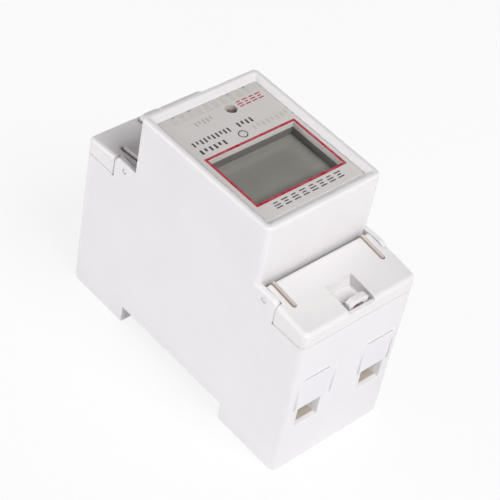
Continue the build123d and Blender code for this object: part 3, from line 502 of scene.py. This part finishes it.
def circuit_board(name):
    """Green resist over tracks, with tinned pads and the glass weave just showing."""
    edge_width, weave_share = 0.12 * MM, 0.12
    track_height, pad_rise, height_strength = 0.03 * MM, 1.5, 0.6
    pad_metal, resist_roughness, pad_roughness = 0.9, 0.42, 0.28
    material, tree, shader = surface(name, Coat_Weight=0.3, Coat_Roughness=0.2)
    art = place_effect(tree, board_tracks)
    track, pad = art.outputs["Track"], art.outputs["Pad"]
    edges = place_effect(tree, soft_edges, Width=edge_width)
    body = mix_color(tree, track, rgba(resist_color), rgba(track_color))
    woven = calc(tree, "MULTIPLY", art.outputs["Weave"], weave_share)
    body = mix_color(tree, woven, body, rgba(weave_color))
    body = mix_color(tree, pad, body, rgba(pad_color))
    body = mix_color(tree, edges.outputs["Edge"], body, rgba(board_edge))
    tree.links.new(body, shader.inputs["Base Color"])
    tree.links.new(calc(tree, "MULTIPLY", pad, pad_metal), shader.inputs["Metallic"])
    gloss = between(tree, pad, 0.0, 1.0, resist_roughness, pad_roughness)
    tree.links.new(gloss, shader.inputs["Roughness"])
    height = calc(tree, "ADD", track, calc(tree, "MULTIPLY", pad, pad_rise))
    raise_surface(tree, shader, height, track_height, height_strength, edges.outputs["Normal"])
    return material


def display_film(name):
    """The unlit display under its satin polarising film."""
    cloud_shade, dust_share = 0.93, 0.35
    low_roughness, high_roughness = 0.20, 0.26
    film_depth, film_strength = 0.002 * MM, 0.2
    material, tree, shader = surface(name, Coat_Weight=0.25, Coat_Roughness=0.12, IOR=1.5)
    texture = place_effect(
        tree, moulded_grain, Grain_Size=0.08 * MM, Cloud_Size=6 * MM, Speck_Spacing=3 * MM
    )
    cloud = texture.outputs["Cloud"]
    body = mix_color(tree, cloud, rgba(shade_of(display_color, cloud_shade)), rgba(display_color))
    dust = calc(tree, "MULTIPLY", texture.outputs["Speck"], dust_share)
    body = mix_color(tree, dust, body, rgba(display_speck_color))
    tree.links.new(body, shader.inputs["Base Color"])
    gloss = between(tree, cloud, 0.0, 1.0, low_roughness, high_roughness)
    tree.links.new(gloss, shader.inputs["Roughness"])
    raise_surface(tree, shader, texture.outputs["Height"], film_depth, film_strength)
    return material


def lamp_resin(name):
    """Tinted clear resin of the unlit lamp, clouded with a darker heart colour."""
    low_roughness, high_roughness = 0.12, 0.22
    resin_depth, resin_strength = 0.004 * MM, 0.2
    material, tree, shader = surface(
        name, Coat_Weight=0.4, Coat_Roughness=0.05, Transmission_Weight=0.25, IOR=1.5
    )
    texture = place_effect(tree, moulded_grain, Grain_Size=0.4 * MM, Cloud_Size=1.2 * MM)
    cloud = texture.outputs["Cloud"]
    body = mix_color(tree, cloud, rgba(resin_heart_color), rgba(resin_color))
    tree.links.new(body, shader.inputs["Base Color"])
    gloss = between(tree, cloud, 0.0, 1.0, low_roughness, high_roughness)
    tree.links.new(gloss, shader.inputs["Roughness"])
    raise_surface(tree, shader, texture.outputs["Height"], resin_depth, resin_strength)
    return material


def printed_ink(name, color, thinness=1.0):
    """Screen-printed ink: a little uneven, with the plate's colour and grain showing through."""
    plate_share = 0.18 * thinness
    low_roughness, high_roughness = 0.34, 0.46
    ink_depth, ink_strength = 0.006 * MM, 0.3
    material, tree, shader = surface(name)
    texture = place_effect(tree, moulded_grain, Grain_Size=0.11 * MM, Cloud_Size=1.5 * MM)
    cloud = texture.outputs["Cloud"]
    thin = tuple(ink + (plate - ink) * plate_share for ink, plate in zip(color, plate_color))
    body = mix_color(tree, cloud, rgba(thin), rgba(color))
    tree.links.new(body, shader.inputs["Base Color"])
    gloss = between(tree, cloud, 0.0, 1.0, low_roughness, high_roughness)
    tree.links.new(gloss, shader.inputs["Roughness"])
    raise_surface(tree, shader, texture.outputs["Height"], ink_depth, ink_strength)
    return material


finishes = {
    "housing": moulded_plastic("housing plastic", housing_color, housing_highlight_tint, holed=True),
    "cover_plastic": moulded_plastic(
        "cover plastic", cover_color, housing_highlight_tint, roughness=0.38, grain=0.13 * MM
    ),
    "latch_plastic": moulded_plastic("latch plastic", latch_color, housing_highlight_tint, roughness=0.45),
    "faceplate": moulded_plastic(
        "faceplate plastic", plate_color, plate_highlight_tint,
        roughness=0.36, grain=0.09 * MM, edge=0.2 * MM, specks=0.3,
    ),
    "dark_plastic": moulded_plastic("dark plastic", dark_color, dark_highlight_tint, roughness=0.45),
    "display_glass": display_film("display film"),
    "reflector": moulded_plastic("reflector sheet", reflector_color, reflector_highlight_tint, roughness=0.25),
    "tinned_metal": worked_metal("tinned metal", tin_color, "z", 0.05, roughness=0.32),
    "circuit_board": circuit_board("circuit board"),
    "lamp_resin": lamp_resin("lamp resin"),
    "bar_metal": worked_metal("copper bar", copper_color, "y", 0.03, roughness=0.34, tarnish=0.62),
    "shunt_metal": worked_metal("resistance alloy", alloy_color, "y", 0.03, roughness=0.38, tarnish=0.75),
    "steel": worked_metal("zinc plated steel", zinc_color, "z", 0.1, roughness=0.32),
    "spring_steel": worked_metal("spring wire", wire_color, "y", 0.05, roughness=0.28),
    "cage_metal": worked_metal("plated cage", cage_color, "y", 0.05, roughness=0.34),
    "screw_metal": worked_metal("turned screw", screw_color, "z", 0.03, roughness=0.27),
    "can_metal": worked_metal("drawn can", can_color, "z", 0.04, roughness=0.26, tarnish=0.9),
    "yellow_plastic": moulded_plastic("capacitor box", capacitor_yellow, capacitor_highlight_tint, roughness=0.3),
    "blue_resin": moulded_plastic("dipped resin", dipped_blue, dipped_highlight_tint, roughness=0.22, grain=0.6 * MM),
}
window_frame_plastic = moulded_plastic(
    "window frame plastic", window_frame_color, window_frame_highlight_tint, roughness=0.5
)
bead_highlight_plastic = moulded_plastic("panel bead highlight plastic", bead_highlight_color, bead_highlight_color, edge=thin_edge)
panel_plastic = moulded_plastic("panel plastic", panel_color, panel_color, edge=thin_edge)
shaded_plastic = moulded_plastic("shaded plastic", shaded_color, shaded_color, edge=thin_edge)
slit_half_shade_plastic = moulded_plastic("slit half shade plastic", slit_half_shade_color, slit_half_shade_color, edge=thin_edge)
red_ink = printed_ink("red ink", red_ink_color)
black_ink = printed_ink("black ink", black_ink_color, thinness=0.6)
grey_ink = printed_ink("grey ink", grey_ink_color)
beige_ink = printed_ink("beige ink", beige_ink_color)


def dress_solids():
    """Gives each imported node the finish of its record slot; the window's frame is a paler black."""
    for entry in frame["record"]["subparts"]:
        finish = finishes[entry["material_slot"]]
        if entry["node"] == "display_frame":
            finish = window_frame_plastic
        materials = nodes[entry["node"]].data.materials
        materials.clear()
        materials.append(finish)


def add_piece(name, mesh, material, body):
    """Puts a finished mesh in the scene, riding on a body."""
    piece = bpy.data.objects.new(name, mesh)
    bpy.context.scene.collection.objects.link(piece)
    mesh.materials.append(material)
    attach(piece, body)
    return piece


def corner_row(form, points):
    """Adds a row of corners at points."""
    return [form.verts.new(point) for point in points]


def join_rows(form, first, second, closed=True):
    """Joins two rows of corners with a band of four-sided faces."""
    count = len(first)
    for i in range(count if closed else count - 1):
        j = (i + 1) % count
        form.faces.new((first[i], first[j], second[j], second[i]))


def close_solid(form, first, second):
    """Makes a closed solid between two rows of corners."""
    form.faces.new(first[::-1])
    form.faces.new(second)
    join_rows(form, first, second)


def outline_prism(form, outline, low, high):
    """Adds a closed prism over an outline of (x, y) corners."""
    bottom = corner_row(form, [(x, y, low) for x, y in outline])
    top = corner_row(form, [(x, y, high) for x, y in outline])
    close_solid(form, bottom, top)


def mesh_from(form, name):
    """Turns a bmesh into a named mesh."""
    bmesh.ops.recalc_face_normals(form, faces=form.faces)
    mesh = bpy.data.meshes.new(name)
    form.to_mesh(mesh)
    form.free()
    return mesh


def rectangle(x0, x1, y0, y1):
    """The corners of a rectangle, anticlockwise."""
    return [(x0, y0), (x1, y0), (x1, y1), (x0, y1)]


def quarter_arc(center_x, center_y, radius, start, steps):
    """Points along a quarter turn, anticlockwise from a start in degrees."""
    points = []
    for i in range(steps + 1):
        angle = math.radians(start + 90 * i / steps)
        points.append((center_x + radius * math.cos(angle), center_y + radius * math.sin(angle)))
    return points


def rounded_outline(x0, x1, y0, y1, radius, steps=4):
    """The corners of a rectangle with rounded corners, anticlockwise."""
    points = quarter_arc(x1 - radius, y1 - radius, radius, 0, steps)
    points += quarter_arc(x0 + radius, y1 - radius, radius, 90, steps)
    points += quarter_arc(x0 + radius, y0 + radius, radius, 180, steps)
    points += quarter_arc(x1 - radius, y0 + radius, radius, 270, steps)
    return points


def circle(center_x, center_y, radius, steps):
    """Points round a circle."""
    angles = [2 * math.pi * i / steps for i in range(steps)]
    return [(center_x + radius * math.cos(angle), center_y + radius * math.sin(angle)) for angle in angles]


def print_window_frame():
    """The red line round the display window."""
    name = "window_frame_print"
    form = bmesh.new()
    inner_x, inner_y = window_half_width, window_half_length
    outer_x, outer_y = inner_x + frame_line, inner_y + frame_line
    bars = (
        (-outer_x, outer_x, inner_y, outer_y),
        (-outer_x, outer_x, -outer_y, -inner_y),
        (-outer_x, -inner_x, -inner_y, inner_y),
        (inner_x, outer_x, -inner_y, inner_y),
    )
    for x0, x1, y0, y1 in bars:
        corners = rectangle(x0, x1, y0 + window_center_y, y1 + window_center_y)
        outline_prism(form, corners, plate_top, ink_top)
    return add_piece(name, mesh_from(form, name), red_ink, "case")


def print_ring():
    """The small plain ring between the rows of marks."""
    name = "ring_print"
    form = bmesh.new()
    rows = []
    for radius, height in (
        (ring_outer, plate_top), (ring_outer, ink_top), (ring_inner, ink_top), (ring_inner, plate_top)
    ):
        points = circle(ring_x, ring_y, radius, ring_steps)
        rows.append(corner_row(form, [(x, y, height) for x, y in points]))
    for first, second in zip(rows, rows[1:] + rows[:1]):
        join_rows(form, first, second)
    return add_piece(name, mesh_from(form, name), black_ink, "case")


def stroke_row(x0, x1, y, height, count, gap, wide=False):
    """A row of plain marks: upright bars, or three stacked bars each where the marks are wide."""
    pitch = (x1 - x0 + gap) / count
    low, high = y - height / 2, y + height / 2
    bar = bar_height * height
    strokes = []
    for i in range(count):
        left = x0 + i * pitch
        right = left + pitch - gap
        if wide:
            middle_inset = middle_bar_inset * (right - left) * (i % 2)
            top_inset = top_bar_inset * (right - left) * (1 - i % 2)
            for foot, inset in ((low, 0.0), ((low + high - bar) / 2, middle_inset), (high - bar, top_inset)):
                strokes.append((left + inset, right - inset, foot, foot + bar))
        else:
            foot = low + short_mark_drop * height * (i % 3 == 1)
            strokes.append((left, right, foot, high))
    return strokes


def print_strokes(name, strokes, material):
    """Flat ink strokes, each an (x0, x1, y0, y1) in millimetres, on the faceplate."""
    form = bmesh.new()
    for x0, x1, y0, y1 in strokes:
        radius = stroke_corner * min(x1 - x0, y1 - y0) * MM
        outline = rounded_outline(x0 * MM, x1 * MM, y0 * MM, y1 * MM, radius)
        outline_prism(form, outline, plate_top, ink_top)
    return add_piece(name, mesh_from(form, name), material, "case")


def print_marks():
    """The rows of plain marks on the faceplate, laid out in millimetres."""
    heading = stroke_row(x0=-10.5, x1=10.7, y=-16.5, height=1.95, count=8, gap=0.85, wide=True)
    rating = stroke_row(x0=-13.1, x1=-5.5, y=6.15, height=1.6, count=6, gap=0.78)
    constant = stroke_row(x0=-13.1, x1=-1.9, y=9.05, height=1.6, count=10, gap=0.7)
    frequency = stroke_row(x0=0.75, x1=5.2, y=9.15, height=1.6, count=4, gap=0.72)
    pulse = stroke_row(x0=5.7, x1=13.4, y=14.9, height=2.0, count=4, gap=0.45, wide=True)
    current_range = stroke_row(x0=-7.9, x1=-2.8, y=14.4, height=1.6, count=5, gap=0.7)
    type_line = stroke_row(x0=3.4, x1=14.3, y=6.6, height=1.6, count=8, gap=0.85)
    maker_line = stroke_row(x0=-12.3, x1=12.1, y=17.7, height=1.8, count=10, gap=0.75, wide=True)
    print_strokes("heading_print", heading, black_ink)
    print_strokes("ratings_print", rating + constant + frequency, black_ink)
    print_strokes("pulse_print", pulse, red_ink)
    print_strokes("range_print", current_range, grey_ink)
    print_strokes("type_print", type_line, beige_ink)
    print_strokes("maker_line_print", maker_line, beige_ink)


def panel_outline(inner_x, inset):
    """The (x, z) corners up the outer side of a panel, round its top and down the inner side."""
    x0, x1 = inner_x + inset, panel_outer - inset
    top = panel_slit_high + bead_width - inset
    radius = bead_corner - inset
    points = [(x1, panel_low)]
    points += quarter_arc(x1 - radius, top - radius, radius, 0, bead_corner_steps)
    points += quarter_arc(x0 + radius, top - radius, radius, 90, bead_corner_steps)
    return points + [(x0, panel_low)]


def add_panel_bead(name, inner_x, x_side, y_side):
    """The low rounded bead that outlines a panel over a wire hole, painted paler as a highlight."""
    form = bmesh.new()
    rows = []
    for share, rise in bead_profile:
        y = (end_wall_y + rise * bead_rise) * y_side
        outline = panel_outline(inner_x, share * bead_width)
        rows.append(corner_row(form, [(x * x_side, y, z) for x, z in outline]))
    for first, second in zip(rows, rows[1:] + rows[:1]):
        join_rows(form, first, second, closed=False)
    form.faces.new([row[0] for row in rows])
    form.faces.new([row[-1] for row in rows][::-1])
    mesh = mesh_from(form, name)
    mesh.shade_smooth()
    return add_piece(name, mesh, bead_highlight_plastic, "case")


def add_panel_face(name, inner_x, x_side, y_side):
    """The flat face of a panel, inside its bead and open at the slit."""
    form = bmesh.new()
    x0, x1 = inner_x + panel_under_bead * bead_width, panel_outer - panel_under_bead * bead_width
    slit_x0, slit_x1 = hole_center_x - panel_slit_half, hole_center_x + panel_slit_half
    outline = [
        (x0, panel_low), (x1, panel_low), (x1, panel_slit_high), (slit_x1, panel_slit_high),
        (slit_x1, panel_slit_low), (slit_x0, panel_slit_low), (slit_x0, panel_slit_high),
        (x0, panel_slit_high),
    ]
    inner, outer = (end_wall_y - panel_sink) * y_side, (end_wall_y + panel_skin) * y_side
    back = corner_row(form, [(x * x_side, inner, z) for x, z in outline])
    front = corner_row(form, [(x * x_side, outer, z) for x, z in outline])
    close_solid(form, back, front)
    return add_piece(name, mesh_from(form, name), panel_plastic, "case")


def add_panels(end, y_side):
    """The outlined panels over the two wire holes of an end."""
    for hand, (x_side, inner_x) in panel_inner_edges.items():
        add_panel_bead(f"{end}_{hand}_panel_bead", inner_x, x_side, y_side)
        add_panel_face(f"{end}_{hand}_panel_face", inner_x, x_side, y_side)


def lay_under_cover_top(form):
    """Lifts a form built round zero height to the sloping top of a cover."""
    for corner in form.verts:
        corner.co.z += cover_rear_top + (abs(corner.co.y) - cover_rear_y) * cover_slope


def add_slit_shade_strips(end, y_side):
    """Thin dark strips of painted shade a little below the top of a cover's two slits."""
    name = end + "_slit_shade_strips"
    form = bmesh.new()
    y0, y1 = sorted((cover_rear_y * y_side, shade_strip_end_y * y_side))
    for x_side in (-1, 1):
        x0, x1 = sorted((slit_inner_x * x_side, slit_outer_x * x_side))
        outline = rounded_outline(x0, x1, y0, y1, shade_strip_corner)
        outline_prism(form, outline, -shade_strip_depth - shade_strip_thickness, -shade_strip_depth)
    lay_under_cover_top(form)
    return add_piece(name, mesh_from(form, name), shaded_plastic, end + "_cover")


def add_slit_half_shade_slopes(end, y_side):
    """The slope from the shade strip up to the top edge, along one wall of each slit, in a paler painted
    half-shade.
    """
    name = end + "_slit_half_shade_slopes"
    form = bmesh.new()
    slit_width = slit_outer_x - slit_inner_x
    for left_x in (-slit_outer_x, slit_inner_x):
        x0, x1 = left_x + half_shade_start_x, left_x + slit_width
        corners = ((x0, -shade_strip_depth), (x1, -half_shade_top), (x1, -shade_strip_depth))
        rear = corner_row(form, [(x, cover_rear_y * y_side, z) for x, z in corners])
        front = corner_row(form, [(x, half_shade_end_y * y_side, z) for x, z in corners])
        close_solid(form, rear, front)
    lay_under_cover_top(form)
    return add_piece(name, mesh_from(form, name), slit_half_shade_plastic, end + "_cover")


def add_pin_tips(end, y_side):
    """The rounded ends of a cover's hinge pins, seen in the ears' holes."""
    name = end + "_pin_tips"
    form = bmesh.new()
    for x_side in (-1, 1):
        rows = []
        for x, share in pin_tip_profile:
            points = circle(pivot_y * y_side, pivot_height, share * pin_tip_radius, pin_tip_steps)
            rows.append(corner_row(form, [(x * x_side, y, z) for y, z in points]))
        form.faces.new(rows[0])
        form.faces.new(rows[-1])
        for first, second in zip(rows, rows[1:]):
            join_rows(form, first, second)
    return add_piece(name, mesh_from(form, name), finishes["cover_plastic"], end + "_cover")


def add_slot_shade(end, y_side):
    """The sill of painted shade round a cover's loop slot, a little below the recess floor."""
    name = end + "_slot_shade"
    form = bmesh.new()
    strips = (
        (-slot_half_x, slot_half_x, slot_rear_y, loop_rear_y),
        (-slot_half_x, slot_half_x, loop_front_y, slot_front_y),
        (-slot_half_x, -loop_half_x, loop_rear_y, loop_front_y),
        (loop_half_x, slot_half_x, loop_rear_y, loop_front_y),
    )
    for x0, x1, rear_y, front_y in strips:
        y0, y1 = sorted((rear_y * y_side, front_y * y_side))
        outline_prism(form, rectangle(x0, x1, y0, y1), slot_shade_low, slot_shade_high)
    return add_piece(name, mesh_from(form, name), shaded_plastic, end + "_cover")


def add_loop_shade_web(end, y_side):
    """The web of painted shade between the legs of a seal loop."""
    name = end + "_loop_shade_web"
    form = bmesh.new()
    y0, y1 = sorted((web_shade_rear_y * y_side, web_shade_front_y * y_side))
    outline = rounded_outline(-web_shade_half_x, web_shade_half_x, y0, y1, web_shade_corner)
    outline_prism(form, outline, slot_shade_low, slot_shade_high)
    return add_piece(name, mesh_from(form, name), shaded_plastic, "case")


def add_camera():
    """The photograph's viewpoint."""
    data = bpy.data.cameras.new("camera")
    data.lens = camera_lens
    data.sensor_width = camera_sensor
    data.clip_start = nearest_seen
    data.clip_end = furthest_seen
    camera = bpy.data.objects.new("camera", data)
    camera.location = camera_place
    camera.rotation_euler = [math.radians(angle) for angle in camera_turn]
    bpy.context.scene.collection.objects.link(camera)
    bpy.context.scene.camera = camera


def add_lamp(name, turn, rise, watts):
    """A wide soft lamp that looks at the meter's middle."""
    data = bpy.data.lights.new(name, "AREA")
    data.size = lamp_width
    data.energy = watts
    turn, rise = math.radians(turn), math.radians(rise)
    away = Vector((math.sin(turn) * math.cos(rise), -math.cos(turn) * math.cos(rise), math.sin(rise)))
    lamp = bpy.data.objects.new(name, data)
    lamp.location = away * lamp_distance
    lamp.rotation_euler = (lamp_target - lamp.location).to_track_quat("-Z", "Y").to_euler()
    bpy.context.scene.collection.objects.link(lamp)


def white_to_the_eye(tree, lit, white_share):
    """Shows a surface near white to the camera, mirrors and glass, and keeps its shadows."""
    path = node(tree, "ShaderNodeLightPath")
    seen = calc(tree, "MAXIMUM", path.outputs["Is Camera Ray"], path.outputs["Is Glossy Ray"])
    seen = calc(tree, "MAXIMUM", seen, path.outputs["Is Transmission Ray"])
    glow = node(tree, "ShaderNodeEmission", {"Color": (1, 1, 1, 1), "Strength": 1.0})
    amount = calc(tree, "MULTIPLY", seen, white_share)
    return node(tree, "ShaderNodeMixShader", {0: amount, 1: lit, 2: glow.outputs[0]}).outputs[0]


def add_floor():
    """A wide pale floor."""
    form = bmesh.new()
    corners = rectangle(-floor_half, floor_half, -floor_half, floor_half)
    form.faces.new(corner_row(form, [(x, y, 0.0) for x, y in corners]))
    mesh = mesh_from(form, "floor")
    floor = bpy.data.objects.new("floor", mesh)
    bpy.context.scene.collection.objects.link(floor)
    material = bpy.data.materials.new("pale floor")
    material.use_nodes = True
    tree = material.node_tree
    tree.nodes.clear()
    matt = node(tree, "ShaderNodeBsdfDiffuse", {"Color": rgba(floor_color)})
    output = tree.nodes.new("ShaderNodeOutputMaterial")
    tree.links.new(white_to_the_eye(tree, matt.outputs[0], floor_white_share), output.inputs["Surface"])
    mesh.materials.append(material)


def add_sky():
    """Even light from all round, and white behind the floor's edge."""
    world = bpy.data.worlds.new("studio")
    world.use_nodes = True
    tree = world.node_tree
    tree.nodes.clear()
    path = node(tree, "ShaderNodeLightPath")
    strength = between(tree, path.outputs["Is Camera Ray"], 0.0, 1.0, sky_strength, 1.0)
    light = node(tree, "ShaderNodeBackground", {"Color": rgba(sky_color), "Strength": strength})
    output = tree.nodes.new("ShaderNodeOutputWorld")
    tree.links.new(light.outputs[0], output.inputs["Surface"])
    bpy.context.scene.world = world


dress_solids()
print_window_frame()
print_ring()
print_marks()
for end_name, end_side in ends.items():
    add_panels(end_name, end_side)
for end_name, end_side in ends.items():
    add_slit_shade_strips(end_name, end_side)
    add_slit_half_shade_slopes(end_name, end_side)
    add_pin_tips(end_name, end_side)
    add_slot_shade(end_name, end_side)
    add_loop_shade_web(end_name, end_side)
add_camera()
for lamp_name, (lamp_turn, lamp_rise, lamp_watts) in lamps.items():
    add_lamp(lamp_name, lamp_turn, lamp_rise, lamp_watts)
add_floor()
add_sky()
bpy.context.scene.view_settings.view_transform = "Standard"
